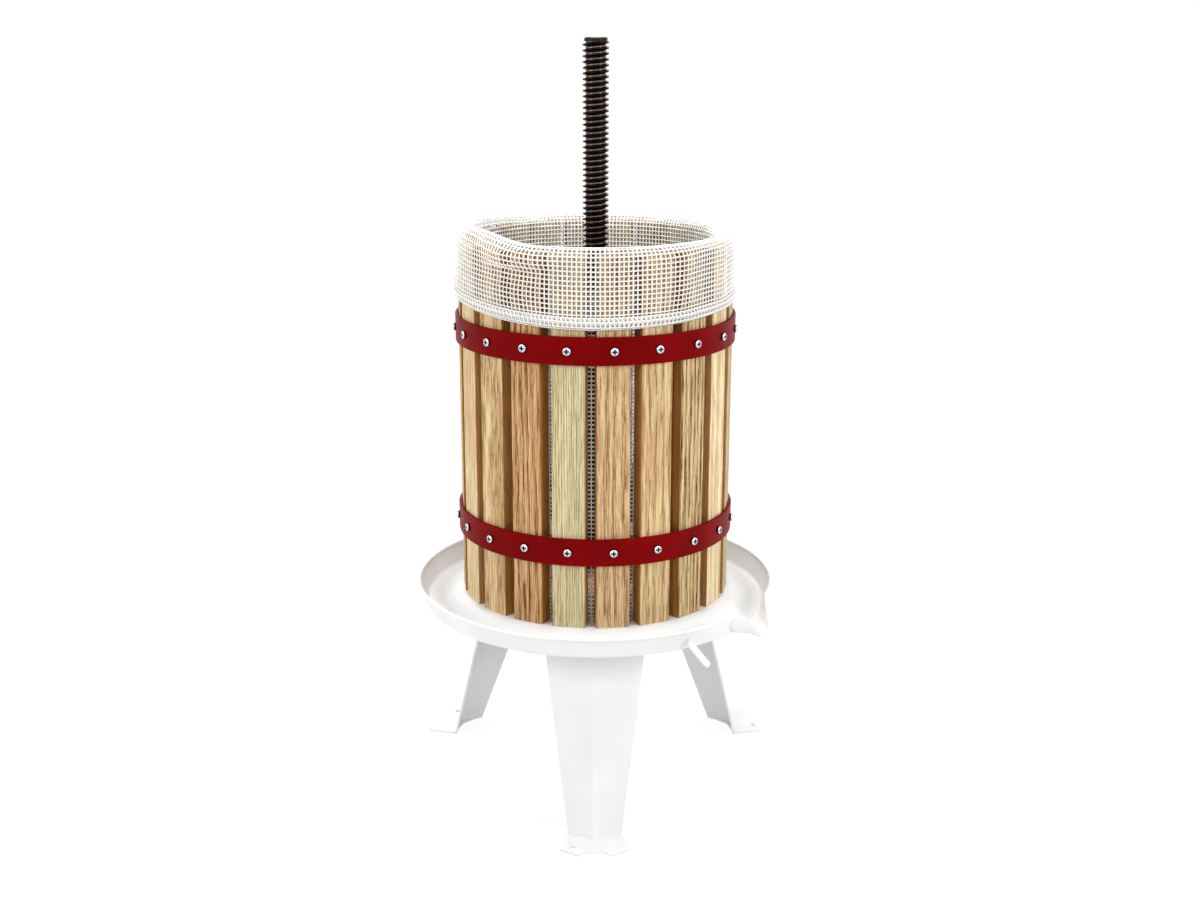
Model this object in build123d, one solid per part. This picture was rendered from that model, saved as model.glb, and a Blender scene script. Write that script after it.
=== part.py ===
from build123d import *
import math
import os

# A small fruit press: an oak basket on a steel juice tray with three folded legs, round a fixed screw spindle.
# Millimetres, +Z up. The origin is on the floor under the spindle, and the front of the press faces -Y.
# An azimuth is measured from the front, -Y, towards the right, +X.

# Basket staves
STAVE_COUNT = 20
STAVE_WIDTH = 30.0
STAVE_THICKNESS = 15.0
STAVE_LENGTH = 335.0
STAVE_EASE = 1.2
BASKET_BORE = 224.0
FIRST_STAVE_AZIMUTH = -10.8

# Basket hoops
HOOP_HEIGHT = 25.0
HOOP_THICKNESS = 2.5
HOOP_CLEARANCE = 0.3
HOOP_EASE = 0.6
LOWER_HOOP_RISE = 72.0
UPPER_HOOP_DROP = 80.7

# Screws that hold each stave to each hoop
SCREW_DIAMETER = 3.5
SCREW_LENGTH = 14.0
SCREW_HEAD_DIAMETER = 7.2
SCREW_HEAD_HEIGHT = 2.3
SCREW_HEAD_EASE = 1.1
SCREW_POINT = 2.5
RECESS_SPAN = 4.2
RECESS_WIDTH = 0.9
RECESS_DEPTH = 1.2
PILOT_CLEARANCE = 0.05
HOOP_HOLE_CLEARANCE = 0.3

# Juice tray, a pressed pan whose middle is raised so that juice runs to a channel round it
LEG_HEIGHT = 191.2
TRAY_SHEET = 1.5
TRAY_RADIUS = 172.3
PLATEAU_MARGIN = 4.0
CHANNEL_DEPTH = 13.0
CHANNEL_FLOOR = 10.0
TRAY_BEND = 30.0
WALL_BEND = 5.0
WALL_LEAN = 7.0
RIM_RISE = 7.5
RIM_BEAD = 3.6

# Pouring spout pressed out of the tray's wall
SPOUT_AZIMUTH = 58.4
SPOUT_REACH = 12.2
SPOUT_MOUTH = 62.0
SPOUT_LIP = 16.5
SPOUT_FALL = 5.8
SPOUT_LIP_HEIGHT = 2.6
SPOUT_SHEET = 1.8
SPOUT_RUN_IN = 9.0
SPOUT_STATIONS = 5
SPOUT_NARROWING = 1.3
SPOUT_FLOOR_CURVE = 1.4
SPOUT_LIP_CURVE = 1.7
SPOUT_LIP_EDGE = 0.2
SPOUT_SQUARENESS = 3.0
SPOUT_SECTION_POINTS = 9

# Short peg on the tray's wall
PEG_AZIMUTH = 29.5
PEG_DIAMETER = 6.0
PEG_LENGTH = 40.0
PEG_SLOPE = 18.0
PEG_GAP = 0.05

# Folded legs
LEG_AZIMUTHS = {"leg_front": 0.0, "leg_right": 120.0, "leg_left": -120.0}
LEG_SHEET = 2.0
LEG_FOOT_RADIUS = 168.2
LEG_LEAN = 0.2662
LEG_FOOT_HALF = 24.2
LEG_FLARE = 0.1366
LEG_FOLD = 29.0
LEG_RIDGE_BEND = 7.0
FOOT_REACH = 25.0
FOOT_TIP_HALF = 14.5
FOOT_SIDE_REACH = 14.0
FOOT_SIDE_OVERHANG = 7.8
FOOT_NOTCH_DEPTH = 6.5
FOOT_NOTCH_HALF = 9.5
FOOT_CORNER = 3.0
FOOT_HOLE_DIAMETER = 6.6
FOOT_HOLE_REACH = 13.5
FOOT_HOLE_AZIMUTH = -6.36

# Spindle and what anchors it to the tray
SPINDLE_HEIGHT = 706.0
SPINDLE_DIAMETER = 24.0
THREAD_PITCH = 5.0
THREAD_DEPTH = 2.75
THREAD_CREST = 0.28
THREAD_ROOT = 0.30
THREAD_BLOCK_TURNS = 4
THREAD_START_RISE = 25.0
TIP_HEIGHT = 3.5
TIP_INSET = 1.3
TIP_CHAMFER = 0.9
SPINDLE_BORE_CLEARANCE = 0.3
SPINDLE_TAIL = 5.0
HUB_DIAMETER = 120.0
HUB_THICKNESS = 5.0
SEAL_THICKNESS = 2.0
SEAL_DIAMETER = 44.0
COLLAR_DIAMETER = 40.0
COLLAR_HEIGHT = 8.0
COLLAR_CHAMFER = 1.5
WASHER_DIAMETER = 46.0
WASHER_THICKNESS = 3.0
ANCHOR_NUT_FLATS = 36.0
ANCHOR_NUT_HEIGHT = 18.0
WELD_CLEARANCE = 0.05

# Straining bag: a net liner with its top turned over the rim as a cuff
BAG_CLOTH = 2.0
BAG_CLEARANCE = 0.4
BAG_FOOT_HOLE = 52.0
CUFF_DROP = 62.0
CUFF_BULGE = 2.0
CUFF_FOLD_RISE = 8.0
HEM_HEIGHT = 9.0
HEM_CLOTH = 1.2

# Pressing set, parked low in the basket
PLATE_THICKNESS = 22.0
PLATE_SIDE_CLEARANCE = 4.0
PLATE_SPLIT = 2.0
PLATE_HOLE_CLEARANCE = 2.5
PLATE_EASE = 2.0
BLOCK_LENGTH = 140.0
BLOCK_WIDTH = 34.0
BLOCK_HEIGHT = 45.0
BLOCK_GAP = 42.0
BLOCK_EASE = 1.5
NUT_FLANGE_DIAMETER = 96.0
NUT_FLANGE_THICKNESS = 10.0
NUT_HUB_DIAMETER = 56.0
NUT_HUB_HEIGHT = 36.0
NUT_EASE = 2.0
NUT_CLEARANCE = 0.3
NUT_ARM_DIAMETER = 16.0
NUT_ARM_CLEARANCE = 14.0
NUT_ARM_AZIMUTH = 90.0

# Levels and radii that follow from the sizes above
PLATEAU_TOP = LEG_HEIGHT + TRAY_SHEET
BASKET_TOP = PLATEAU_TOP + STAVE_LENGTH
STAVE_INNER_RADIUS = BASKET_BORE / 2
STAVE_OUTER_RADIUS = STAVE_INNER_RADIUS + STAVE_THICKNESS
BASKET_CORNER_RADIUS = math.hypot(STAVE_OUTER_RADIUS, STAVE_WIDTH / 2 - STAVE_EASE)
HOOP_INNER_RADIUS = BASKET_CORNER_RADIUS + HOOP_CLEARANCE
HOOP_OUTER_RADIUS = HOOP_INNER_RADIUS + HOOP_THICKNESS
HOOP_LEVELS = {"lower": PLATEAU_TOP + LOWER_HOOP_RISE, "upper": BASKET_TOP - UPPER_HOOP_DROP}
SPINDLE_RADIUS = SPINDLE_DIAMETER / 2
SPINDLE_BORE_RADIUS = SPINDLE_RADIUS + SPINDLE_BORE_CLEARANCE
CHANNEL_TOP = PLATEAU_TOP - CHANNEL_DEPTH
RIM_RADIUS = TRAY_RADIUS - RIM_BEAD / 2
RIM_LEVEL = PLATEAU_TOP + RIM_RISE - RIM_BEAD / 2
BAG_OUTER_RADIUS = STAVE_INNER_RADIUS - BAG_CLEARANCE
BAG_FOOT_LEVEL = PLATEAU_TOP + BAG_CLEARANCE
PLATE_LEVEL = BAG_FOOT_LEVEL + BAG_CLOTH + BAG_CLEARANCE
BLOCK_LEVEL = PLATE_LEVEL + PLATE_THICKNESS
NUT_LEVEL = BLOCK_LEVEL + BLOCK_HEIGHT

FLOOR_UP = (Align.CENTER, Align.CENTER, Align.MIN)
BEND_SHARE = 0.45


def turned(shape, azimuth):
    """A shape made at the front of the press, moved round to its azimuth."""
    return Rot(0, 0, azimuth) * shape


def disc(radius, height, level):
    return Pos(0, 0, level) * Cylinder(radius, height, align=FLOOR_UP)


def revolved(*points):
    """A ring whose section has these (radius, level) corners."""
    return revolve(Plane.XZ * make_face(Polyline(*points, close=True)), Axis.Z)


def stave_azimuths():
    return [FIRST_STAVE_AZIMUTH + i * 360 / STAVE_COUNT for i in range(STAVE_COUNT)]


def radial_rod(radius, start, end, level):
    """A round rod at the front of the press that runs outwards from one radius to another."""
    return Pos(0, -start, level) * Rot(90, 0, 0) * Cylinder(radius, end - start, align=FLOOR_UP)


def stave():
    bar = Box(STAVE_WIDTH, STAVE_THICKNESS, STAVE_LENGTH, align=FLOOR_UP)
    bar = fillet(bar.edges().filter_by(Axis.Z), STAVE_EASE)
    bar = Pos(0, -(STAVE_INNER_RADIUS + STAVE_THICKNESS / 2), PLATEAU_TOP) * bar
    point = HOOP_OUTER_RADIUS - SCREW_LENGTH
    pilot = SCREW_DIAMETER / 2 + PILOT_CLEARANCE
    for level in HOOP_LEVELS.values():
        bar -= radial_rod(pilot, point - PILOT_CLEARANCE, HOOP_OUTER_RADIUS, level)
    return bar


def hoop(level):
    low = level - HOOP_HEIGHT / 2
    ring = disc(HOOP_OUTER_RADIUS, HOOP_HEIGHT, low)
    ring = fillet(ring.edges(), HOOP_EASE)
    ring -= disc(HOOP_INNER_RADIUS, HOOP_HEIGHT, low)
    hole = radial_rod(SCREW_DIAMETER / 2 + HOOP_HOLE_CLEARANCE, STAVE_OUTER_RADIUS,
                      HOOP_OUTER_RADIUS + HOOP_THICKNESS, level)
    return ring - [turned(hole, azimuth) for azimuth in stave_azimuths()]


def hoop_screw(level):
    """A pan-head screw with a cross recess, at the front of a hoop, with its head on the strap."""
    head = Cylinder(SCREW_HEAD_DIAMETER / 2, SCREW_HEAD_HEIGHT, align=FLOOR_UP)
    head = fillet(head.edges().sort_by(Axis.Z)[-1], SCREW_HEAD_EASE)
    slot = Pos(0, 0, SCREW_HEAD_HEIGHT - RECESS_DEPTH) * Box(
        RECESS_SPAN, RECESS_WIDTH, SCREW_HEAD_HEIGHT, align=FLOOR_UP)
    head -= [slot, Rot(0, 0, 90) * slot]
    shank_length = SCREW_LENGTH - SCREW_POINT
    shank = Pos(0, 0, -shank_length) * Cylinder(SCREW_DIAMETER / 2, shank_length, align=FLOOR_UP)
    point = Pos(0, 0, -SCREW_LENGTH) * Cone(
        SCREW_DIAMETER / 8, SCREW_DIAMETER / 2, SCREW_POINT, align=FLOOR_UP)
    return Pos(0, -HOOP_OUTER_RADIUS, level) * Rot(90, 0, 0) * (head + shank + point)


def hoop_screws(level):
    screw = hoop_screw(level)
    return Compound(children=[turned(screw, azimuth) for azimuth in stave_azimuths()])


def limited_bend(bend, before, corner, after):
    """The bend's radius at a corner, no larger than the two straight runs beside it leave room for."""
    runs = [math.dist(before, corner), math.dist(corner, after)]
    heading = math.atan2(corner[1] - before[1], corner[0] - before[0])
    turn = abs(math.atan2(after[1] - corner[1], after[0] - corner[0]) - heading)
    return min(bend, BEND_SHARE * min(runs) / math.tan(turn / 2))


def tray_path():
    """The middle of the tray's sheet from its bore to its rim, as (radius, level) corners and bends."""
    level = PLATEAU_TOP - TRAY_SHEET / 2
    wall_foot = RIM_RADIUS - WALL_LEAN
    corners = [
        (SPINDLE_BORE_RADIUS, level),
        (BASKET_CORNER_RADIUS + PLATEAU_MARGIN, level),
        (wall_foot - CHANNEL_FLOOR, level - CHANNEL_DEPTH),
        (wall_foot, level - CHANNEL_DEPTH),
        (RIM_RADIUS, RIM_LEVEL),
    ]
    bends = [TRAY_BEND, TRAY_BEND, WALL_BEND]
    bends = [limited_bend(bend, *corners[i:i + 3]) for i, bend in enumerate(bends)]
    return corners, FilletPolyline(*corners, radius=bends)


def spout_stations():
    """The trough's (radius, half width, floor, lip level) from inside the tray, through its mouth, to its tip."""
    rim_top = PLATEAU_TOP + RIM_RISE
    tip_floor = CHANNEL_TOP - SPOUT_FALL
    tip_top = tip_floor + SPOUT_LIP_HEIGHT
    middle = CHANNEL_TOP - TRAY_SHEET / 2
    mouth = math.sqrt(RIM_RADIUS ** 2 - (SPOUT_MOUTH / 2) ** 2)
    run = TRAY_RADIUS + SPOUT_REACH - mouth
    stations = [(mouth - SPOUT_RUN_IN, SPOUT_MOUTH / 2, CHANNEL_TOP + TRAY_SHEET / 2, rim_top)]
    for i in range(SPOUT_STATIONS):
        share = i / (SPOUT_STATIONS - 1)
        half = SPOUT_LIP / 2 + (SPOUT_MOUTH - SPOUT_LIP) / 2 * (1 - share) ** SPOUT_NARROWING
        floor = middle - (middle - tip_floor) * share ** SPOUT_FLOOR_CURVE
        top = rim_top - (rim_top - tip_top) * share ** SPOUT_LIP_CURVE
        stations.append((mouth + run * share, half, floor, top))
    return stations


def spout_section(side, floor, top):
    """The trough's round floor and upright sides as one curve from lip to lip, in (across, level)."""
    power = 2 / SPOUT_SQUARENESS
    points = []
    for i in range(SPOUT_SECTION_POINTS):
        angle = math.pi * i / (SPOUT_SECTION_POINTS - 1)
        across = -math.copysign(abs(math.cos(angle)) ** power, math.cos(angle))
        points.append((side * across, top - (top - floor) * abs(math.sin(angle)) ** power))
    return Spline(*points)


def spout_trough(sheet, headroom):
    """The trough at the front of the tray, grown by the sheet below and at its sides, and open above to a height."""
    sections = []
    for reach, half, floor, top in spout_stations():
        side = half + sheet
        trough = spout_section(side, floor - sheet, top)
        lid = Polyline((side, top), (side, top + headroom), (-side, top + headroom), (-side, top))
        across = Plane(origin=(0, -reach, 0), x_dir=(1, 0, 0), z_dir=(0, -1, 0))
        sections.append(across * make_face([trough, lid]))
    return loft(sections)


def tray():
    corners, path = tray_path()
    sheet = trace(path, TRAY_SHEET) + Pos(RIM_RADIUS, RIM_LEVEL) * Circle(RIM_BEAD / 2)
    pan = revolve(Plane.XZ * sheet, Axis.Z)
    above = [(0, corners[0][1])] + corners[1:] + [(RIM_RADIUS, 2 * RIM_LEVEL), (0, 2 * RIM_LEVEL)]
    inside = revolved(*above)
    channel = turned(spout_trough(0, TRAY_RADIUS), SPOUT_AZIMUTH)
    shell = turned(spout_trough(SPOUT_SHEET, SPOUT_LIP_EDGE), SPOUT_AZIMUTH) - channel - inside
    return pan - channel + shell


def tray_peg():
    root = RIM_RADIUS - WALL_LEAN
    level = (CHANNEL_TOP + RIM_LEVEL) / 2
    rod = Cylinder(PEG_DIAMETER / 2, PEG_LENGTH, align=FLOOR_UP)
    rod = fillet(rod.edges().sort_by(Axis.Z)[-1], PEG_DIAMETER / 2 - PEG_GAP)
    rod = Pos(0, -root, level) * Rot(90 + PEG_SLOPE, 0, 0) * rod
    wall = trace(Line((root, CHANNEL_TOP - TRAY_SHEET / 2), (RIM_RADIUS, RIM_LEVEL)), TRAY_SHEET + 2 * PEG_GAP)
    pan = revolve(Plane.XZ * wall, Axis.Z) + disc(root, RIM_RISE + CHANNEL_DEPTH, CHANNEL_TOP - TRAY_SHEET)
    outside = (rod - pan).solids().sort_by(Axis.Y)[0]
    return turned(outside, PEG_AZIMUTH)


def leg_section(level):
    """The folded sheet's section at a level, at the front of the press: a shallow V with its ridge outwards."""
    ridge = LEG_FOOT_RADIUS - LEG_LEAN * level
    half = LEG_FOOT_HALF + LEG_FLARE * level
    fold = math.radians(LEG_FOLD)
    edge = ridge - half * math.tan(fold)
    inner_half = half - LEG_SHEET * math.sin(fold)
    inner_edge = edge - LEG_SHEET * math.cos(fold)
    outer = [(-half, -edge), (0, -ridge), (half, -edge)]
    inner = [(inner_half, -inner_edge), (0, -(ridge - LEG_SHEET / math.cos(fold))), (-inner_half, -inner_edge)]
    return outer, inner


def leg():
    low_outer, low_inner = leg_section(0)
    top_outer, top_inner = leg_section(LEG_HEIGHT)
    panels = loft([
        make_face(Polyline(*low_outer, *low_inner, close=True)),
        Pos(0, 0, LEG_HEIGHT) * make_face(Polyline(*top_outer, *top_inner, close=True)),
    ], ruled=True)
    upright = panels.edges().filter_by(lambda e: abs(e.center().X) < STAVE_EASE and e.length > LEG_HEIGHT / 2)
    ridge, valley = upright.sort_by(Axis.Y)
    panels = fillet(ridge, LEG_RIDGE_BEND)
    valley = panels.edges().filter_by(lambda e: abs(e.center().X) < STAVE_EASE and e.length > LEG_HEIGHT / 2)
    panels = fillet(valley.sort_by(Axis.Y)[-1], LEG_RIDGE_BEND - LEG_SHEET)
    top_plate = Pos(0, 0, LEG_HEIGHT) * extrude(make_face(Polyline(*top_outer, close=True)), -LEG_SHEET)
    top_plate = fillet(top_plate.edges().filter_by(Axis.Z).sort_by(Axis.Y)[0], LEG_RIDGE_BEND)
    return panels + top_plate + foot(low_outer)


def foot(bend_line):
    """The out-turned foot at the leg's lower end, with a shallow notch in front and one bolt hole."""
    side = LEG_FOOT_HALF + FOOT_SIDE_OVERHANG
    tip = LEG_FOOT_RADIUS + FOOT_REACH
    right = [
        (FOOT_NOTCH_HALF, -(tip - FOOT_NOTCH_DEPTH)),
        (FOOT_TIP_HALF, -tip),
        (side, -(LEG_FOOT_RADIUS + FOOT_SIDE_REACH)),
        bend_line[2],
    ]
    left = [(-x, y) for x, y in reversed(right)]
    inner_ridge = (0, -(LEG_FOOT_RADIUS - LEG_RIDGE_BEND))
    notch_middle = (FOOT_NOTCH_HALF + FOOT_TIP_HALF) / 2
    plate = extrude(make_face(Polyline(inner_ridge, *left, *right, close=True)), LEG_SHEET)
    corners = plate.edges().filter_by(Axis.Z).filter_by(
        lambda e: -e.center().Y > LEG_FOOT_RADIUS + FOOT_CORNER and abs(e.center().X) > notch_middle)
    plate = fillet(corners, FOOT_CORNER)
    hole = Pos(0, -(LEG_FOOT_RADIUS + FOOT_HOLE_REACH)) * Cylinder(FOOT_HOLE_DIAMETER / 2, 3 * LEG_SHEET)
    return plate - turned(hole, FOOT_HOLE_AZIMUTH)


def thread_section():
    """The thread's section across its axis: crest and root arcs joined by two flank spirals."""
    root_radius = SPINDLE_RADIUS - THREAD_DEPTH
    flank = (1 - THREAD_CREST - THREAD_ROOT) / 2

    def at(radius, share):
        angle = 2 * math.pi * share
        return (radius * math.cos(angle), radius * math.sin(angle))

    def arc(radius, start, end):
        return ThreePointArc(at(radius, start), at(radius, (start + end) / 2), at(radius, end))

    def spiral(from_radius, to_radius, start):
        quarters = [i / 4 for i in range(5)]
        return Spline(*[at(from_radius + (to_radius - from_radius) * q, start + flank * q) for q in quarters])

    falling = THREAD_CREST
    rising = 1 - flank
    return Wire([
        arc(SPINDLE_RADIUS, 0, THREAD_CREST),
        spiral(SPINDLE_RADIUS, root_radius, falling),
        arc(root_radius, falling + flank, rising),
        spiral(root_radius, SPINDLE_RADIUS, rising),
    ])


def spindle_foot():
    return LEG_HEIGHT - HUB_THICKNESS - WASHER_THICKNESS - ANCHOR_NUT_HEIGHT - SPINDLE_TAIL


def thread(blocks):
    """The right-hand thread from level 0 up: equal blocks of whole turns, joined end to end."""
    section = thread_section()
    block_height = THREAD_BLOCK_TURNS * THREAD_PITCH
    block = Solid.extrude_linear_with_rotation(
        section, (0, 0, 0), (0, 0, block_height), THREAD_BLOCK_TURNS * 360)
    sides = block.faces().filter_by(GeomType.PLANE, reverse=True)
    skin = [Pos(0, 0, i * block_height) * side for i in range(blocks) for side in sides]
    ends = [Pos(0, 0, level) * Face(section) for level in (0, blocks * block_height)]
    return Solid(Shell(skin + ends))


def spindle():
    """The screw: a plain foot, the thread, and a short plain tip."""
    block_height = THREAD_BLOCK_TURNS * THREAD_PITCH
    thread_top = SPINDLE_HEIGHT - TIP_HEIGHT
    blocks = int((thread_top - PLATEAU_TOP - THREAD_START_RISE) / block_height)
    thread_foot = thread_top - blocks * block_height
    foot_level = spindle_foot()
    shank = disc(SPINDLE_RADIUS, thread_foot - foot_level, foot_level)
    shank = chamfer(shank.edges().sort_by(Axis.Z)[0], TIP_CHAMFER)
    tip = disc(SPINDLE_RADIUS - TIP_INSET, TIP_HEIGHT, SPINDLE_HEIGHT - TIP_HEIGHT)
    tip = chamfer(tip.edges().sort_by(Axis.Z)[-1], TIP_CHAMFER)
    return shank + Pos(0, 0, thread_foot) * thread(blocks) + tip


def ring_round_spindle(diameter, height, level, clearance):
    return disc(diameter / 2, height, level) - disc(SPINDLE_RADIUS + clearance, height, level)


def anchor_nut():
    level = LEG_HEIGHT - HUB_THICKNESS - WASHER_THICKNESS - ANCHOR_NUT_HEIGHT
    hexagon = RegularPolygon(ANCHOR_NUT_FLATS / 2, 6, major_radius=False)
    body = Pos(0, 0, level) * extrude(hexagon, ANCHOR_NUT_HEIGHT)
    return body - disc(SPINDLE_RADIUS + WELD_CLEARANCE, ANCHOR_NUT_HEIGHT, level)


def spindle_collar():
    level = PLATEAU_TOP + SEAL_THICKNESS
    body = disc(COLLAR_DIAMETER / 2, COLLAR_HEIGHT, level)
    body = chamfer(body.edges().sort_by(Axis.Z)[-1], COLLAR_CHAMFER)
    return body - disc(SPINDLE_RADIUS + WELD_CLEARANCE, COLLAR_HEIGHT, level)


def straining_bag():
    """The bag's liner: a net wall inside the staves and a net foot with a hole for the spindle."""
    inner = BAG_OUTER_RADIUS - BAG_CLOTH
    hole = BAG_FOOT_HOLE / 2
    foot_top = BAG_FOOT_LEVEL + BAG_CLOTH
    return revolved((hole, BAG_FOOT_LEVEL), (BAG_OUTER_RADIUS, BAG_FOOT_LEVEL), (BAG_OUTER_RADIUS, BASKET_TOP),
                    (inner, BASKET_TOP), (inner, foot_top), (hole, foot_top))


def bag_cuff():
    """The bag's top, turned over the staves in a loose roll and hanging outside them to a doubled hem."""
    inner = BASKET_CORNER_RADIUS + BAG_CLEARANCE
    outer = inner + BAG_CLOTH
    liner = BAG_OUTER_RADIUS - BAG_CLOTH
    seat = BASKET_TOP + BAG_CLEARANCE
    crown = seat + CUFF_FOLD_RISE
    fold = (liner + outer) / 2
    foot = BASKET_TOP - CUFF_DROP
    middle = BASKET_TOP - CUFF_DROP / 2
    hem_outer = outer + HEM_CLOTH
    section = [
        Line((liner, seat), (BAG_OUTER_RADIUS, seat)),
        ThreePointArc((BAG_OUTER_RADIUS, seat), (fold, crown - BAG_CLOTH), (inner, seat)),
        ThreePointArc((inner, seat), (inner + CUFF_BULGE, middle), (inner, foot)),
        Line((inner, foot), (hem_outer, foot)),
        Line((hem_outer, foot), (hem_outer, foot + HEM_HEIGHT)),
        ThreePointArc((hem_outer, foot + HEM_HEIGHT), (outer + CUFF_BULGE, middle), (outer, seat)),
        ThreePointArc((outer, seat), (fold, crown), (liner, seat)),
    ]
    return revolve(Plane.XZ * make_face(section), Axis.Z)


def press_plate(side):
    """One of the two half-round plates that lie on the fruit, split along X round the spindle."""
    radius = BAG_OUTER_RADIUS - BAG_CLOTH - PLATE_SIDE_CLEARANCE
    plate = disc(radius, PLATE_THICKNESS, PLATE_LEVEL)
    plate = fillet(plate.edges().filter_by(GeomType.CIRCLE), PLATE_EASE)
    plate -= disc(COLLAR_DIAMETER / 2 + PLATE_HOLE_CLEARANCE, PLATE_THICKNESS, PLATE_LEVEL)
    half = Pos(0, side * (radius + PLATE_SPLIT / 2), PLATE_LEVEL) * Box(
        2 * radius, 2 * radius, PLATE_THICKNESS, align=FLOOR_UP)
    return plate & half


def press_block(side):
    """A spacer block that bridges both plates on one side of the spindle and carries the nut."""
    block = Box(BLOCK_WIDTH, BLOCK_LENGTH, BLOCK_HEIGHT, align=FLOOR_UP)
    block = fillet(block.edges().filter_by(Axis.Y) + block.edges().filter_by(Axis.Z), BLOCK_EASE)
    return Pos(side * (BLOCK_GAP + BLOCK_WIDTH) / 2, 0, BLOCK_LEVEL) * block


def press_nut():
    """The nut that drives the plates: a wide flange and a hub cast with two arms to turn it by."""
    flange = disc(NUT_FLANGE_DIAMETER / 2, NUT_FLANGE_THICKNESS, NUT_LEVEL)
    flange = fillet(flange.edges().sort_by(Axis.Z)[-1], NUT_EASE)
    hub_level = NUT_LEVEL + NUT_FLANGE_THICKNESS
    hub = disc(NUT_HUB_DIAMETER / 2, NUT_HUB_HEIGHT, hub_level)
    hub = fillet(hub.edges().sort_by(Axis.Z)[-1], NUT_EASE)
    reach = BAG_OUTER_RADIUS - BAG_CLOTH - NUT_ARM_CLEARANCE
    arm = radial_rod(NUT_ARM_DIAMETER / 2, SPINDLE_DIAMETER, reach, hub_level + NUT_HUB_HEIGHT / 2)
    arm = fillet(arm.edges().sort_by(Axis.Y)[0], NUT_ARM_DIAMETER / 2 - NUT_EASE)
    body = flange + hub + [turned(arm, NUT_ARM_AZIMUTH), turned(arm, NUT_ARM_AZIMUTH + 180)]
    return body - disc(SPINDLE_RADIUS + NUT_CLEARANCE, NUT_FLANGE_THICKNESS + NUT_HUB_HEIGHT, NUT_LEVEL)


def basket_nodes():
    one_stave = stave()
    nodes = {f"stave_{i + 1:02d}": turned(one_stave, azimuth) for i, azimuth in enumerate(stave_azimuths())}
    for name, level in HOOP_LEVELS.items():
        nodes[f"hoop_{name}"] = hoop(level)
        nodes[f"hoop_screws_{name}"] = hoop_screws(level)
    nodes["bag_cuff"] = bag_cuff()
    return nodes


def stand_nodes():
    one_leg = leg()
    hub_level = LEG_HEIGHT - HUB_THICKNESS
    nodes = {name: turned(one_leg, azimuth) for name, azimuth in LEG_AZIMUTHS.items()}
    nodes["juice_tray"] = tray()
    nodes["tray_peg"] = tray_peg()
    nodes["spindle"] = spindle()
    nodes["hub_plate"] = ring_round_spindle(HUB_DIAMETER, HUB_THICKNESS, hub_level, SPINDLE_BORE_CLEARANCE)
    nodes["spindle_seal"] = ring_round_spindle(SEAL_DIAMETER, SEAL_THICKNESS, PLATEAU_TOP, WELD_CLEARANCE)
    nodes["spindle_collar"] = spindle_collar()
    nodes["anchor_washer"] = ring_round_spindle(
        WASHER_DIAMETER, WASHER_THICKNESS, hub_level - WASHER_THICKNESS, SPINDLE_BORE_CLEARANCE)
    nodes["anchor_nut"] = anchor_nut()
    nodes["straining_bag"] = straining_bag()
    return nodes


def press_nodes():
    return {
        "press_plate_front": press_plate(-1),
        "press_plate_back": press_plate(1),
        "press_block_left": press_block(-1),
        "press_block_right": press_block(1),
        "press_nut": press_nut(),
    }


os.makedirs("parts", exist_ok=True)
for node, shape in {**stand_nodes(), **basket_nodes(), **press_nodes()}.items():
    export_step(shape, f"parts/{node}.step")
    print(node, len(shape.solids()), "solids", round(shape.volume / 1000, 2), "cm3")
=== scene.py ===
# %% [markdown]
# This lesson dresses a small fruit press. The solid pieces come from the packed model, at their
# real size and place: oak staves in two red hoops, a white steel tray on folded legs, and a black
# screw. Blender adds what a solid can't show, which is the finish of each surface and the open net
# of the straining bag. Nothing here moves a solid piece.

# %% Load the press
import math

import bmesh
import bpy
from mathutils import Matrix, Vector


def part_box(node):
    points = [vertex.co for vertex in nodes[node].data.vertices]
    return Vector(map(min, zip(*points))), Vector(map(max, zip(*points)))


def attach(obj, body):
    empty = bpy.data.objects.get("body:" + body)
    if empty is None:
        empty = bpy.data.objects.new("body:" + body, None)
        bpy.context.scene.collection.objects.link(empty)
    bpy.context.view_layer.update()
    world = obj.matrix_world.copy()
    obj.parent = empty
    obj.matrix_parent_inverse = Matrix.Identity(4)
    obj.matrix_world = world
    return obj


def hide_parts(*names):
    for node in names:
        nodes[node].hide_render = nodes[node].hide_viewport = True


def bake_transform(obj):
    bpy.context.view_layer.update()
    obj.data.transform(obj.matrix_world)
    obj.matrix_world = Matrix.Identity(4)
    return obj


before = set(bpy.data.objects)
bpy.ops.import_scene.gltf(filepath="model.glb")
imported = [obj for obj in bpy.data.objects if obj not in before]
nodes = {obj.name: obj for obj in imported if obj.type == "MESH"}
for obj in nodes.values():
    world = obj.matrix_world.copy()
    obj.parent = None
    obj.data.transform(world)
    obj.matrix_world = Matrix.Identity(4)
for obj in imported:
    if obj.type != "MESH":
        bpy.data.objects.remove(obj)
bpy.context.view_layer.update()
MM = 0.001

# %% [markdown]
# The camera is about as high as the spindle's top and square to the front leg, as it was for the
# photograph. Its place and tilt were worked out from the rings of screw heads, which are evenly
# spaced on two level circles. A lens is given in millimetres on a 36 mm wide sensor.

# %% Camera
CAMERA_BACK = 1443.7 * MM
CAMERA_HEIGHT = 723.4 * MM
CAMERA_LENS = 46.97
CAMERA_DOWN = math.radians(15.466)
CAMERA_TURN = math.radians(0.18)
CAMERA_ROLL = math.radians(0.127)


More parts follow.
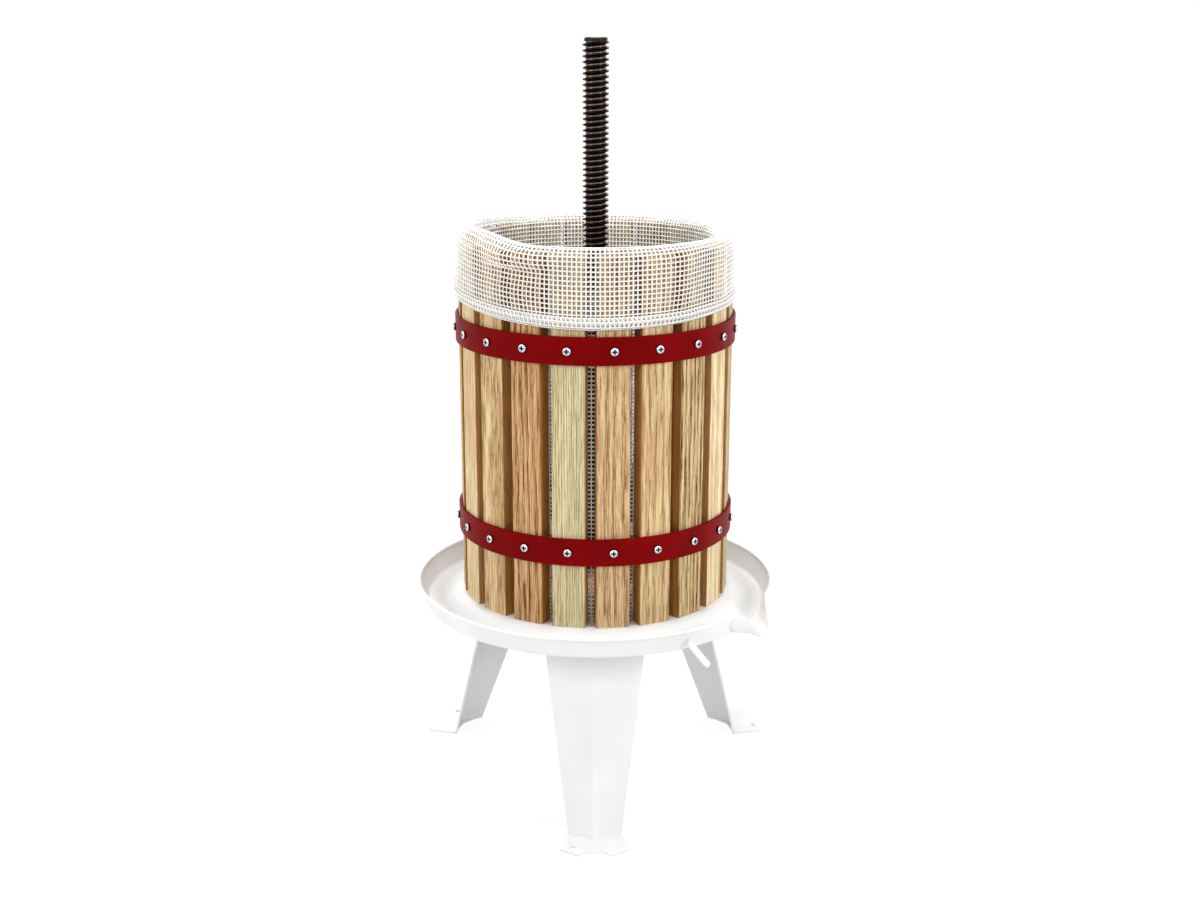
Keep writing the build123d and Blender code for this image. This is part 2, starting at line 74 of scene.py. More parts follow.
def make_camera():
    """A camera in front of the press that looks down on it, turned a trifle to the right."""
    ahead = Vector((math.sin(CAMERA_TURN), math.cos(CAMERA_TURN), 0))
    right = Vector((math.cos(CAMERA_TURN), -math.sin(CAMERA_TURN), 0))
    up = ahead * math.sin(CAMERA_DOWN) + Vector((0, 0, math.cos(CAMERA_DOWN)))
    rolled_right = right * math.cos(CAMERA_ROLL) + up * math.sin(CAMERA_ROLL)
    rolled_up = up * math.cos(CAMERA_ROLL) - right * math.sin(CAMERA_ROLL)
    camera = bpy.data.objects.new("camera", bpy.data.cameras.new("camera"))
    camera.data.lens = CAMERA_LENS
    place = Vector((0, -CAMERA_BACK, CAMERA_HEIGHT))
    axes = Matrix((rolled_right, rolled_up, rolled_right.cross(rolled_up))).transposed()
    camera.matrix_world = Matrix.Translation(place) @ axes.to_4x4()
    bpy.context.scene.collection.objects.link(camera)
    bpy.context.scene.camera = camera
    return camera


camera = make_camera()
print("camera at", [round(v, 3) for v in camera.location])

# %% [markdown]
# A material in Blender is a small network of nodes, and most of it is arithmetic. Wiring each sum
# by hand hides what is meant, so one class wraps a node's output and lets Python's own signs add
# the Math nodes. Each sign has a reflected form, for a sum that starts with a plain number, such as
# 1 - mask.


# %% Shader sums
def sign(operation):
    """The two methods of one sign: with a Tap on its left, and with a plain number there."""
    def direct(tap, other):
        return tap.math(operation, other)

    def reflected(tap, number):
        return tap.network.node("ShaderNodeMath", {"operation": operation}, {0: number, 1: tap})
    return direct, reflected


class Tap:
    """One output of a shader node. Arithmetic on it adds Math nodes to the same network."""

    __add__, __radd__ = sign("ADD")
    __sub__, __rsub__ = sign("SUBTRACT")
    __mul__, __rmul__ = sign("MULTIPLY")
    __truediv__, __rtruediv__ = sign("DIVIDE")
    __pow__, __rpow__ = sign("POWER")

    def __init__(self, network, socket):
        self.network = network
        self.socket = socket

    def math(self, operation, *others):
        sockets = dict(enumerate([self, *others]))
        return self.network.node("ShaderNodeMath", {"operation": operation}, sockets)

    def also(self, name):
        """Another output of the same node."""
        return Tap(self.network, self.socket.node.outputs[name])

    def between(self, low, high):
        """Runs evenly from low, where this is 0, to high, where it is 1."""
        return self * (high - low) + low

    def ramp(self, low, high):
        """Runs smoothly from 0, where this is low, to 1, where it is high."""
        sockets = {"Value": self, "From Min": low, "From Max": high}
        settings = {"interpolation_type": "SMOOTHSTEP"}
        return self.network.node("ShaderNodeMapRange", settings, sockets)


print("reflected signs:", ", ".join(name for name in vars(Tap) if name.startswith("__r")))

# %% [markdown]
# A material holds such a network, and so does the world. One method makes any node in it from the
# node's type, its settings and what its sockets take, so the steps below name what they want and
# never link anything themselves.


# %% Node networks
class Network:
    """A tree of nodes, in which one method makes every node."""

    def __init__(self, tree):
        self.tree = tree

    def node(self, kind, settings=None, sockets=None, output=0):
        made = self.tree.nodes.new(kind)
        for setting, value in (settings or {}).items():
            setattr(made, setting, value)
        for socket, value in (sockets or {}).items():
            self.feed(made.inputs[socket], value)
        return Tap(self, made.outputs[output])

    def feed(self, socket, value):
        """Links a socket to a Tap, or sets it to a plain value."""
        if isinstance(value, Tap):
            self.tree.links.new(value.socket, socket)
        else:
            socket.default_value = value


print("a network has", ", ".join(name for name in vars(Network) if name[0] != "_"))

# %% [markdown]
# A finish is the network of one material with one Principled shader. Its patterns are read off the
# point's own place on the piece, so they stay with it in every pose. One Mapping node turns that
# place to face the pattern and a second one stretches it, because a single node would stretch it
# first.


# %% Finishes
class Finish(Network):
    """A procedural material on one Principled shader."""

    def __init__(self, name, **constants):
        self.material = bpy.data.materials.new(name)
        self.material.use_nodes = True
        super().__init__(self.material.node_tree)
        self.shader = self.tree.nodes["Principled BSDF"]
        self.set(**constants)

    def set(self, **sockets):
        for socket, value in sockets.items():
            self.feed(self.shader.inputs[socket.replace("_", " ")], value)
        return self

    def place(self, scale=(1, 1, 1), turn=0.0, shift=(0, 0, 0)):
        """The point on the piece, turned about Z, then stretched and shifted for a pattern."""
        point = self.node("ShaderNodeTexCoord", output="Object")
        turned = self.node("ShaderNodeMapping", {}, {"Vector": point, "Rotation": (0, 0, turn)})
        sockets = {"Vector": turned, "Scale": scale, "Location": shift}
        return self.node("ShaderNodeMapping", {}, sockets)

    def millimetres(self, turn=0.0):
        """The point on the piece in millimetres: its X, with Y and Z as the other outputs."""
        point = self.place((1 / MM,) * 3, turn)
        return self.node("ShaderNodeSeparateXYZ", {}, {"Vector": point})

    def noise(self, vector, detail, roughness=0.5):
        sockets = {"Vector": vector, "Scale": 1.0, "Detail": detail, "Roughness": roughness}
        return self.node("ShaderNodeTexNoise", {}, sockets)

    def blend(self, factor, first, second):
        """The first colour where the factor is 0 and the second where it is 1."""
        sockets = {0: factor, 6: first, 7: second}
        return self.node("ShaderNodeMix", {"data_type": "RGBA"}, sockets, output=2)

    def bump(self, height, depth, strength):
        sockets = {"Height": height, "Distance": depth, "Strength": strength}
        return self.set(Normal=self.node("ShaderNodeBump", {}, sockets))


print("a finish adds", ", ".join(name for name in vars(Finish) if name[0] != "_"))

# %% [markdown]
# A colour is read off a screen, where 128 of 255 looks like middle grey but is far less than half
# the light. Shaders count light, so each colour goes through the standard curve of screens. A piece
# of the model keeps its mesh, and dressing it only changes its material.


# %% Colours
def screen_colour(red, green, blue):
    """A colour as it is read off a screen, 0 to 255, turned into the linear values of shaders."""
    def linear(value):
        share = value / 255
        return share / 12.92 if share <= 0.04045 else ((share + 0.055) / 1.055) ** 2.4
    return (linear(red), linear(green), linear(blue), 1.0)


def dress(finish, *names):
    for name in names:
        nodes[name].data.materials.clear()
        nodes[name].data.materials.append(finish.material)
    print(finish.material.name, "on", ", ".join(names))


print("middle grey on a screen is", round(screen_colour(128, 128, 128)[0], 3), "in a shader")

# %% [markdown]
# The staves are plain sawn oak with no oil or varnish. Oak's rings are lines of wide pores, so a
# sawn face shows long fine dashes that follow the length, darker along each ring, on a ground whose
# tone differs from board to board. A tone is a pale ground, a dark for the pores and how strong the
# pores are. The narrow sides face the shaded gaps between staves and get a painted shade, a darker
# brown than the faces.

# %% Oak tones
STAVE_COUNT = 20
OAK_TONES = {
    "cream": (screen_colour(226, 214, 172), screen_colour(156, 134, 82), 0.7),
    "rose": (screen_colour(228, 198, 150), screen_colour(140, 86, 36), 0.9),
    "straw": (screen_colour(238, 212, 162), screen_colour(156, 106, 48), 0.85),
    "gold": (screen_colour(236, 208, 152), screen_colour(76, 40, 8), 1.0),
    "tan": (screen_colour(226, 182, 128), screen_colour(112, 60, 20), 1.0),
    "pale": (screen_colour(255, 238, 196), screen_colour(192, 148, 88), 0.6),
}
STAVE_TONES = ("cream rose straw gold pale cream straw rose cream tan "
               "straw rose cream straw tan rose straw pale straw tan").split()
OAK_FLUSH = screen_colour(222, 176, 134)
OAK_GAP_SHADE = screen_colour(166, 106, 28)
print("staves of each tone:", {tone: STAVE_TONES.count(tone) for tone in OAK_TONES})

# %% [markdown]
# A picture of wood would repeat from stave to stave. Each stave has its own finish instead: the
# pattern is turned to face the stave, stretched along Z and shifted by the stave's number. The
# rings cut the face at a slant that also differs, as they do in boards from different places in
# the log. The rings' spacing and wander and the sides' edge are in millimetres, the slant is in
# degrees, and the scales of noises are per metre.

# %% Oak
STAVE_TURN = 2 * math.pi / STAVE_COUNT
FIRST_STAVE = math.radians(-10.8)
RING_SPACING = (2.3, 3.4, 2.8, 4.4)
RING_RISE = (0.0, 0.15)
RING_FALL = (0.3, 0.8)
RING_WANDER = 9
RING_SHARE = 0.28
SLANT_LEAST = 20
SLANT_STEP = 47
SLANT_SPAN = 130
SEED_STEP = (3.7, 1.3, 7.1)
WANDER_SCALE = (45, 45, 4)
STREAK_SCALE = (800, 800, 7)
STREAK_EDGE = (0.3, 0.75)
STREAK_SHARE = 0.4
STREAK_HEIGHT = 0.4
PORE_SCALE = (1050, 1050, 34)
PORE_EDGE = (0.51, 0.555)
DRIFT_SCALE = (30, 30, 7)
DRIFT_EDGE = (0.5, 0.7)
FLUSH_SHARE = 0.5
GAP_SHADE_EDGE = (14.3, 14.95)
GAP_SHADE_SHARE = 0.8


def oak_finish(number):
    """Oak for one stave: pores in dashes along the grain, crowded on each growth ring."""
    azimuth = FIRST_STAVE + number * STAVE_TURN
    pale, dark, strength = OAK_TONES[STAVE_TONES[number]]
    slant = math.radians(SLANT_LEAST + SLANT_STEP * number % SLANT_SPAN)
    seed = tuple(number * step for step in SEED_STEP)
    finish = Finish(f"oak_{number + 1:02d}", Specular_IOR_Level=0.2)

    def grain_noise(scale, detail, roughness=0.5):
        return finish.noise(finish.place(scale, -azimuth, seed), detail, roughness)

    across = finish.millimetres(-azimuth)
    inwards = across.also("Y")
    wander = grain_noise(WANDER_SCALE, detail=2) * RING_WANDER
    depth = across * math.cos(slant) + inwards * math.sin(slant) + wander
    ring = (depth / RING_SPACING[number % len(RING_SPACING)]).math("FRACT")
    early = ring.ramp(*RING_RISE) * (1 - ring.ramp(*RING_FALL))
    streak = grain_noise(STREAK_SCALE, detail=2)
    pore = grain_noise(PORE_SCALE, detail=3, roughness=0.65)
    dash = pore.ramp(*PORE_EDGE) * early.between(0.45, 1.0)
    drift = grain_noise(DRIFT_SCALE, detail=1)
    ground = finish.blend(drift.ramp(*DRIFT_EDGE) * FLUSH_SHARE, pale, OAK_FLUSH)
    shade = streak.ramp(*STREAK_EDGE) * STREAK_SHARE + early * RING_SHARE
    face = finish.blend(dash * strength, finish.blend(shade, ground, dark), dark)
    # Painted shade: the narrow sides, which face the shaded gaps between staves, are painted
    # darker.
    side = across.math("ABSOLUTE").ramp(*GAP_SHADE_EDGE)
    finish.set(Base_Color=finish.blend(side * GAP_SHADE_SHARE, face, OAK_GAP_SHADE))
    finish.set(Roughness=streak.between(0.6, 0.85))
    return finish.bump(streak * STREAK_HEIGHT - dash, depth=0.4 * MM, strength=1.0)


for number in range(STAVE_COUNT):
    dress(oak_finish(number), f"stave_{number + 1:02d}")

# %% [markdown]
# The hoops are flat steel strap in a deep red baked enamel. Such a coat is smooth but not flat: a
# faint orange peel breaks up the reflections, and the colour is a touch deeper where the coat ran
# thick. Two noises, one slow and one fine, are enough for that.

# %% Red enamel
RED = screen_colour(124, 0, 4)
RED_DEEP = screen_colour(110, 0, 2)
RED_CLOUD = (30, 30, 30)
RED_PEEL = (420, 420, 420)


def red_enamel():
    finish = Finish("red_enamel", Specular_IOR_Level=0.04)
    cloud = finish.noise(finish.place(RED_CLOUD), detail=3)
    peel = finish.noise(finish.place(RED_PEEL), detail=1)
    finish.set(Base_Color=finish.blend(cloud.ramp(0.3, 0.7), RED, RED_DEEP))
    finish.set(Roughness=cloud.between(0.34, 0.48))
    return finish.bump(peel, depth=0.05 * MM, strength=0.35)


dress(red_enamel(), "hoop_upper", "hoop_lower")

# %% [markdown]
# Tray, peg and legs are white gloss enamel on pressed sheet. White shows shape only through its
# shading, so the colour stays near plain and the interest is in the gloss: a slow waviness from
# the pressing, and fine peel.

# %% White enamel
WHITE = screen_colour(232, 233, 234)
WHITE_DULL = screen_colour(226, 227, 228)
WHITE_CLOUD = (14, 14, 14)
WHITE_PEEL = (300, 300, 300)
PRESSED_WAVE = 2.0
PEEL_HEIGHT = 0.15


def white_enamel():
    finish = Finish("white_enamel", Coat_Weight=0.3, Coat_Roughness=0.12)
    cloud = finish.noise(finish.place(WHITE_CLOUD), detail=2)
    peel = finish.noise(finish.place(WHITE_PEEL), detail=1)
    finish.set(Base_Color=finish.blend(cloud.ramp(0.35, 0.75), WHITE, WHITE_DULL))
    finish.set(Roughness=cloud.between(0.26, 0.42))
    height = cloud * PRESSED_WAVE + peel * PEEL_HEIGHT
    return finish.bump(height, depth=0.3 * MM, strength=0.25)


LEGS = ("leg_front", "leg_left", "leg_right")
dress(white_enamel(), "juice_tray", "tray_peg", *LEGS, "hub_plate")

# %% [markdown]
# The screws are bright zinc plate, a metal with a cold blue cast. A mirror as small as a screw's
# head hardly shows its cross, so the shade in the cross's recess and round the foot of the head is
# painted: a shade finds the middle of each screw from its even spacing round the hoop, and paints
# the cross and the foot of the head dark.

# %% Zinc
ZINC_BRIGHT = screen_colour(236, 240, 246)
ZINC_GREY = screen_colour(196, 204, 216)
ZINC_PAINTED_SHADE = screen_colour(24, 26, 34)
ZINC_GRAIN = (900, 900, 900)
SCREW_CROWN = (131.7, 132.5)
CROSS_ARM = (0.55, 0.9)
CROSS_SPAN = (2.1, 2.6)


def zinc_plate(name, shade=None):
    """Zinc with a fine grain, and a painted shade where a shade, if there is one, is 1."""
    finish = Finish(name, Metallic=1.0)
    grain = finish.noise(finish.place(ZINC_GRAIN), detail=2)
    colour = finish.blend(grain, ZINC_BRIGHT, ZINC_GREY)
    if shade:
        # Painted shade in each screw's cross and round the foot of its head.
        colour = finish.blend(shade(finish), colour, ZINC_PAINTED_SHADE)
    return finish.set(Base_Color=colour, Roughness=grain.between(0.2, 0.4))


def screw_shade(name):
    """Painted shade in a screw's cross and below its crown, measured from the middle of its own
    screw.
    """
    low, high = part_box(name)
    level = (low.z + high.z) / 2 / MM

    def shade(finish):
        point = finish.millimetres()
        reach = (point * point + point.also("Y") * point.also("Y")) ** 0.5
        azimuth = point.math("ARCTAN2", point.also("Y") * -1)
        turn = ((azimuth - FIRST_STAVE) / STAVE_TURN + 0.5).math("FRACT") - 0.5
        beside = (turn * STAVE_TURN * reach).math("ABSOLUTE")
        above = (point.also("Z") - level).math("ABSOLUTE")
        arm = 1 - beside.math("MINIMUM", above).ramp(*CROSS_ARM)
        span = 1 - beside.math("MAXIMUM", above).ramp(*CROSS_SPAN)
        return (arm * span).math("MAXIMUM", 1 - reach.ramp(*SCREW_CROWN))
    return shade


for name in ("hoop_screws_upper", "hoop_screws_lower"):
    dress(zinc_plate(f"zinc_{name}", screw_shade(name)), name)
dress(zinc_plate("zinc_plate"), "anchor_washer", "anchor_nut")

# %% [markdown]
# The spindle is rolled steel with a dark oiled skin. The nut's weight rubs the upper flanks of the
# thread bare, and the flanks below stay black. The finish follows the thread: how high a point is,
# less its turn round the axis, says where in one pitch it lies, from 0 to 1.

# %% Black steel
STEEL_BLACK = screen_colour(5, 3, 2)
STEEL_BROWN = screen_colour(46, 37, 33)
STEEL_BARE = screen_colour(122, 105, 98)
STEEL_SCUFF = (500, 500, 500)
THREAD_PITCH = 5.0
THREAD_FOOT = (222.0, 223.0)
THREAD_TOP = (702.0, 703.0)
BARE_FROM = (0.42, 0.66)
BARE_TO = (0.84, 0.95)


def black_steel():
    """Oiled steel, bare on the thread's upper flanks and black in the shelter below them."""
    finish = Finish("black_steel", Metallic=1.0)
    point = finish.millimetres()
    level = point.also("Z")
    scuff = finish.noise(finish.place(STEEL_SCUFF), detail=3)
    turns = point.also("Y").math("ARCTAN2", point) / (2 * math.pi)
    phase = (level / THREAD_PITCH - turns).math("FRACT")
    thread = level.ramp(*THREAD_FOOT) * (1 - level.ramp(*THREAD_TOP))
    bare = phase.ramp(*BARE_FROM) * (1 - phase.ramp(*BARE_TO)) * thread
    skin = finish.blend(thread, STEEL_BROWN, STEEL_BLACK)
    rubbed = bare * scuff.between(0.6, 1.2)
    finish.set(Base_Color=finish.blend(rubbed, skin, STEEL_BARE))
    finish.set(Roughness=scuff.between(0.18, 0.28))
    return finish.bump(scuff, depth=0.03 * MM, strength=0.3)


dress(black_steel(), "spindle", "spindle_collar")

# %% [markdown]
# The nut is a casting under satin black paint, so its skin is a little rough. The seal under the
# spindle's collar is plain rubber with a grey bloom. Neither needs more than one noise.

# %% Black iron and rubber
IRON_BLACK = screen_colour(30, 29, 28)
IRON_GREY = screen_colour(48, 46, 44)
IRON_SKIN = (350, 350, 350)
RUBBER_BLACK = screen_colour(28, 28, 28)
RUBBER_GREY = screen_colour(46, 46, 46)
RUBBER_BLOOM = (120, 120, 120)


def black_iron():
    finish = Finish("black_iron", Specular_IOR_Level=0.4)
    skin = finish.noise(finish.place(IRON_SKIN), detail=4)
    finish.set(Base_Color=finish.blend(skin, IRON_BLACK, IRON_GREY))
    finish.set(Roughness=skin.between(0.45, 0.65))
    return finish.bump(skin, depth=0.3 * MM, strength=0.5)


def black_rubber():
    finish = Finish("black_rubber", Specular_IOR_Level=0.3)
    bloom = finish.noise(finish.place(RUBBER_BLOOM), detail=2)
    finish.set(Base_Color=finish.blend(bloom, RUBBER_BLACK, RUBBER_GREY))
    return finish.set(Roughness=bloom.between(0.75, 0.95))


dress(black_iron(), "press_nut")
dress(black_rubber(), "spindle_seal")

# %% [markdown]
# The pressing plates and their two blocks are beech, which is warmer than oak and closer in its
# grain, with short dark flecks. They lie low in the basket, stained a little by juice. The grain of
# the plates runs across that of the blocks, so the pattern is turned for each.

# %% Beech
BEECH_PALE = screen_colour(214, 172, 126)
BEECH_BROWN = screen_colour(184, 138, 94)
BEECH_DARK = screen_colour(128, 84, 50)
BEECH_STAIN = screen_colour(142, 92, 66)
BEECH_GRAIN = (260, 14, 260)
BEECH_FLECKS = (1400, 160, 1400)
BEECH_STAINS = (18, 18, 18)
FLECK_SHARE = 0.6
STAIN_SHARE = 0.35


def beech(name, turn):
    finish = Finish(name, Specular_IOR_Level=0.35)
    long_grain = finish.noise(finish.place(BEECH_GRAIN, turn), detail=3, roughness=0.6)
    fleck = finish.noise(finish.place(BEECH_FLECKS, turn), detail=1).ramp(0.6, 0.7)
    stain = finish.noise(finish.place(BEECH_STAINS), detail=2).ramp(0.5, 0.8)
    body = finish.blend(long_grain.ramp(0.3, 0.7), BEECH_PALE, BEECH_BROWN)
    spotted = finish.blend(fleck * FLECK_SHARE, body, BEECH_DARK)
    finish.set(Base_Color=finish.blend(stain * STAIN_SHARE, spotted, BEECH_STAIN))
    finish.set(Roughness=long_grain.between(0.5, 0.75))
    return finish.bump(long_grain - fleck, depth=0.2 * MM, strength=0.6)


dress(beech("beech_plate", math.pi / 2), "press_plate_front", "press_plate_back")
dress(beech("beech_block", 0), "press_block_left", "press_block_right")

# %% [markdown]
# The straining bag is an open net of square meshes about 4 mm wide, in soft white twine. The twine
# is matt with a faint sheen. Modelling its twist would take millions of faces, so a fine noise
# stands for it.

# %% White net
NET_PALE = screen_colour(255, 254, 252)
NET_SHADE = screen_colour(244, 242, 236)
NET_TWIST = (2600, 2600, 2600)
NET_CLOUD = (60, 60, 60)
TWIST_SHARE = 0.5
CLOUD_SHARE = 0.4


def white_net():
    finish = Finish("white_net", Roughness=0.8, Specular_IOR_Level=0.25, Sheen_Weight=0.2)
    twist = finish.noise(finish.place(NET_TWIST), detail=2)
    cloud = finish.noise(finish.place(NET_CLOUD), detail=2)
    shade = twist * TWIST_SHARE + cloud * CLOUD_SHARE
    finish.set(Base_Color=finish.blend(shade, NET_PALE, NET_SHADE))
    return finish.bump(twist, depth=0.15 * MM, strength=0.5)


NET_FINISH = white_net()
print("net finish", NET_FINISH.material.name)

# %% [markdown]
# A picture of a net on a plain sheet would hide the staves, so the strands are real. They start as
# a grid with one mesh of the net to each face: a few points make the net's profile, and spin sweeps
# it about the spindle. Ten columns fit each stave.

# %% Net grid
NET_COLUMNS = 10 * STAVE_COUNT
NET_PITCH = 4.0 * MM


def net_grid(profile, start, angle, columns):
    """The profile's (radius, level) corners, divided into meshes and spun about the spindle."""
    grid = bmesh.new()
    ahead = Vector((math.sin(start), -math.cos(start), 0))
    corners = [ahead * radius + Vector((0, 0, level)) for radius, level in profile]
    line = [grid.verts.new(corners[0])]
    for first, second in zip(corners, corners[1:]):
        meshes = max(1, round((second - first).length / NET_PITCH))
        line += [grid.verts.new(first.lerp(second, (i + 1) / meshes)) for i in range(meshes)]
    line += [grid.edges.new(pair) for pair in zip(line, line[1:])]
    whole = angle >= 2 * math.pi
    bmesh.ops.spin(grid, geom=line, cent=(0, 0, 0), axis=(0, 0, 1), angle=angle,
                   steps=columns, use_merge=whole)
    return grid


print("columns of net:", NET_COLUMNS, "of meshes", round(NET_PITCH / MM, 1), "mm high")

# %% [markdown]
# Curves with a round section could be the strands, but there would be hundreds of them and they
# wouldn't join where they cross. The wireframe operator turns every edge of the grid into a strand
# instead, in one joined mesh.

# %% Net strands
NET_STRAND = 1.3 * MM


def net_piece(grid, name):
    """Strands in place of the grid's edges, as a piece of the press."""
    bmesh.ops.recalc_face_normals(grid, faces=grid.faces)
    bmesh.ops.wireframe(grid, faces=grid.faces[:], thickness=NET_STRAND, use_replace=True,
                        use_boundary=True, use_even_offset=True)
    for face in grid.faces:
        face.smooth = True
    mesh = bpy.data.meshes.new(name)
    grid.to_mesh(mesh)
    grid.free()
    piece = bpy.data.objects.new(name, mesh)
    piece.data.materials.append(NET_FINISH.material)
    bpy.context.scene.collection.objects.link(piece)
    print(name, len(mesh.polygons), "faces")
    return piece


print("strand:", round(NET_STRAND / MM, 1), "mm thick")

# %% [markdown]
# The bag's top is turned out over the staves and hangs outside them as a cuff. Net is limp but
# hangs straight, so the cuff follows the staves at the front. At the left the roll swells and hangs
# over, and at the right the net gathers in slack folds. A cloth simulation would need a sheet, and
# this is strands, so each fold is one smooth term of a push outwards from the spindle. Three smooth
# shapes are enough for all of them: a step, a plateau and a hump.


# %% Smooth shapes
def smooth(value, low, high):
    """Runs smoothly from 0 at low to 1 at high."""
    share = min(1, max(0, (value - low) / (high - low)))
    return share * share * (3 - 2 * share)


def plateau(value, start, full, fall, end):
    """Rises smoothly from 0 at start to 1 at full, and falls to 0 again from fall to end."""
    return smooth(value, start, full) * (1 - smooth(value, fall, end))


def swell(value, low, high):
    """A smooth hump that is 0 outside low and high and 1 half way between them."""
    share = min(1, max(0, (value - low) / (high - low)))
    return math.sin(math.pi * share) ** 2


print("a plateau's edge and middle:", plateau(1, 0, 2, 6, 8), plateau(4, 0, 2, 6, 8))

# %% [markdown]
# The terms of the push are an overhang and a billow at the left, a ridge and a crease at the right,
# and a slight ripple all round. A fold has its push in millimetres, its azimuths in degrees and its
# drops below the staves' tops in millimetres. Four numbers say where it begins, where it is full,
# where it starts to fade and where it ends, and two say where a hump or a step begins and ends.

# %% Folds of the cuff
RIDGE = (4, (12, 32, 34, 46), (-5, 4, 25, 70))
CREASE = (1.6, (50, 60, 61, 66), (-5, 4, 40, 62))
OVERHANG_PUSH = 7
OVERHANG_AZIMUTHS = (-54, -36, -26, -10)
OVERHANG_TOP = (-7, 1)
OVERHANG_FOOT = (8, 13)
OVERHANG_TAPER = 6
TAPER_AZIMUTHS = (-24, -10)
BILLOW_PUSH = 1.5
BILLOW_AZIMUTHS = (-150, -100, -80, -40)
BILLOW_DROPS = (0, 62)
RIPPLE_PUSH = 0.4
RIPPLE_DROPS = (-5, 90)
RIPPLE_WAVES = 7
RIPPLE_START = 40
RIPPLE_TWIST = (3, 2)


def fold(azimuth, drop, push, azimuths, drops):
    return push * plateau(azimuth, *azimuths) * plateau(drop, *drops)


def overhang(azimuth, drop):
    """The roll's overhang, which is less deep towards the front."""
    taper = OVERHANG_TAPER * smooth(azimuth, *TAPER_AZIMUTHS)
    foot = [edge - taper for edge in OVERHANG_FOOT]
    return fold(azimuth, drop, OVERHANG_PUSH, OVERHANG_AZIMUTHS, (*OVERHANG_TOP, *foot))


def ripple(azimuth, drop):
    """A slow unevenness from 0 to 2."""
    twist = azimuth * RIPPLE_TWIST[0] + drop * RIPPLE_TWIST[1]
    wave = math.sin(math.radians(azimuth * RIPPLE_WAVES + RIPPLE_START))
    return 1 + wave * math.cos(math.radians(twist))


def cuff_push(azimuth, drop):
    """How far the cuff stands off the staves at an azimuth and a drop below their tops."""
    left = overhang(azimuth, drop)
    left += BILLOW_PUSH * plateau(azimuth, *BILLOW_AZIMUTHS) * swell(drop, *BILLOW_DROPS)
    right = fold(azimuth, drop, *RIDGE) + fold(azimuth, drop, *CREASE)
    slight = RIPPLE_PUSH * ripple(azimuth, drop) * swell(drop, *RIPPLE_DROPS)
    return (left + right + slight) * MM


for azimuth, drop in ((-31, 4), (0, 30), (33, 15)):
    print("push at", azimuth, "degrees:", round(cuff_push(azimuth, drop) / MM, 2), "mm")

# %% [markdown]
# Gathered net also slips sideways: at the right its columns crowd together, and at the left they
# wiggle on their way down. The hem hangs higher at the sides, where the roll and the folds take up
# net.

# %% Slip and lift of the cuff
GATHER_SLIP = 2.6
GATHER_AZIMUTHS = (24, 38, 42, 54)
GATHER_DROPS = (0, 60)
WIGGLE_SLIP = 1.2
WIGGLE_AZIMUTHS = (-60, -48, -30, -16)
WIGGLE_DEGREES = 8
HEM_LIFT = 9 * MM
HEM_LIFT_SKEW = 6


def cuff_slip(azimuth, drop):
    """How far the net's columns lie to the right of straight."""
    gathered = 1 - smooth(drop, *GATHER_DROPS)
    gather = GATHER_SLIP * plateau(azimuth, *GATHER_AZIMUTHS) * gathered
    wave = math.sin(math.radians(drop * WIGGLE_DEGREES))
    return (gather + WIGGLE_SLIP * plateau(azimuth, *WIGGLE_AZIMUTHS) * wave) * MM


def cuff_lift(azimuth):
    """How much higher the hem hangs at the sides than at the front."""
    side = math.sin(math.radians(azimuth))
    return HEM_LIFT * (1 - side / HEM_LIFT_SKEW) * side ** 2


print("lift at the left and right:", [round(cuff_lift(side) / MM, 1) for side in (-90, 90)], "mm")

# %% [markdown]
# The cuff starts as a straight tube of net, and each of its points is then laid over the rim by
# how far along the net it is: up inside the basket, over the staves in a loose roll, down outside
# them, and to and fro in the doubled hem. The tube's Z says how far along, from the staves' outer
# edge, and is below 0 outside the basket.

# %% Over the rim
STAVE_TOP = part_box("stave_01")[1].z
LINER_RADIUS = 110.7 * MM
CUFF_RADIUS = 128.6 * MM
CUFF_DROP = 62 * MM
ROLL_RISE = 6.8 * MM
ROLL_ARC = 24 * MM
ROLL_MIDDLE = (CUFF_RADIUS + LINER_RADIUS) / 2
ROLL_HALF = (CUFF_RADIUS - LINER_RADIUS) / 2
SWELL_AZIMUTHS = (-150, -80, -60, -24)
SWELL_SHARE = 1.25
HEM_RISE = 9 * MM
HEM_FOLD_SLACK = 0.01


def over_rim(azimuth, along):
    """The (radius, level) of the net so far along it, from outside the staves up and over them."""
    arc = ROLL_ARC + cuff_lift(azimuth)
    if along < 0:
        return CUFF_RADIUS, STAVE_TOP + along
    if along > arc:
        return LINER_RADIUS, STAVE_TOP - (along - arc)
    angle = math.pi * along / arc
    rise = ROLL_RISE * (1 + SWELL_SHARE * plateau(azimuth, *SWELL_AZIMUTHS))
    return ROLL_MIDDLE + ROLL_HALF * math.cos(angle), STAVE_TOP + rise * math.sin(angle)


def hem_layer(along):
    """Which layer of the hem a point is in, 0 above it, and how far along the cuff that lies."""
    below = -CUFF_DROP - along
    layer = max(0, math.ceil(below / HEM_RISE - HEM_FOLD_SLACK))
    within = below - (layer - 1) * HEM_RISE
    if layer == 0:
        return layer, along
    return layer, -CUFF_DROP + (within if layer % 2 else HEM_RISE - within)


print("top of the roll at the front:", round(over_rim(0, ROLL_ARC / 2)[1], 4), "m")

# %% [markdown]
# The hem is net folded up and down on itself. Its layers step outwards, half a mesh sideways and a
# quarter of one up, so that they read as a closer net and no strand lies inside another. The
# finished cuff goes up and down with the basket, in place of the closed cuff of the model.

# %% Cuff
LINER_TOP = STAVE_TOP - 3 * MM
HEM_LAYERS = 3
HEM_STEP = 0.9 * MM
HEM_SHIFT = NET_PITCH / 4


def azimuth_of(point):
    """The azimuth of a point in degrees, from the front of the press towards its right."""
    return math.degrees(math.atan2(point.x, -point.y))


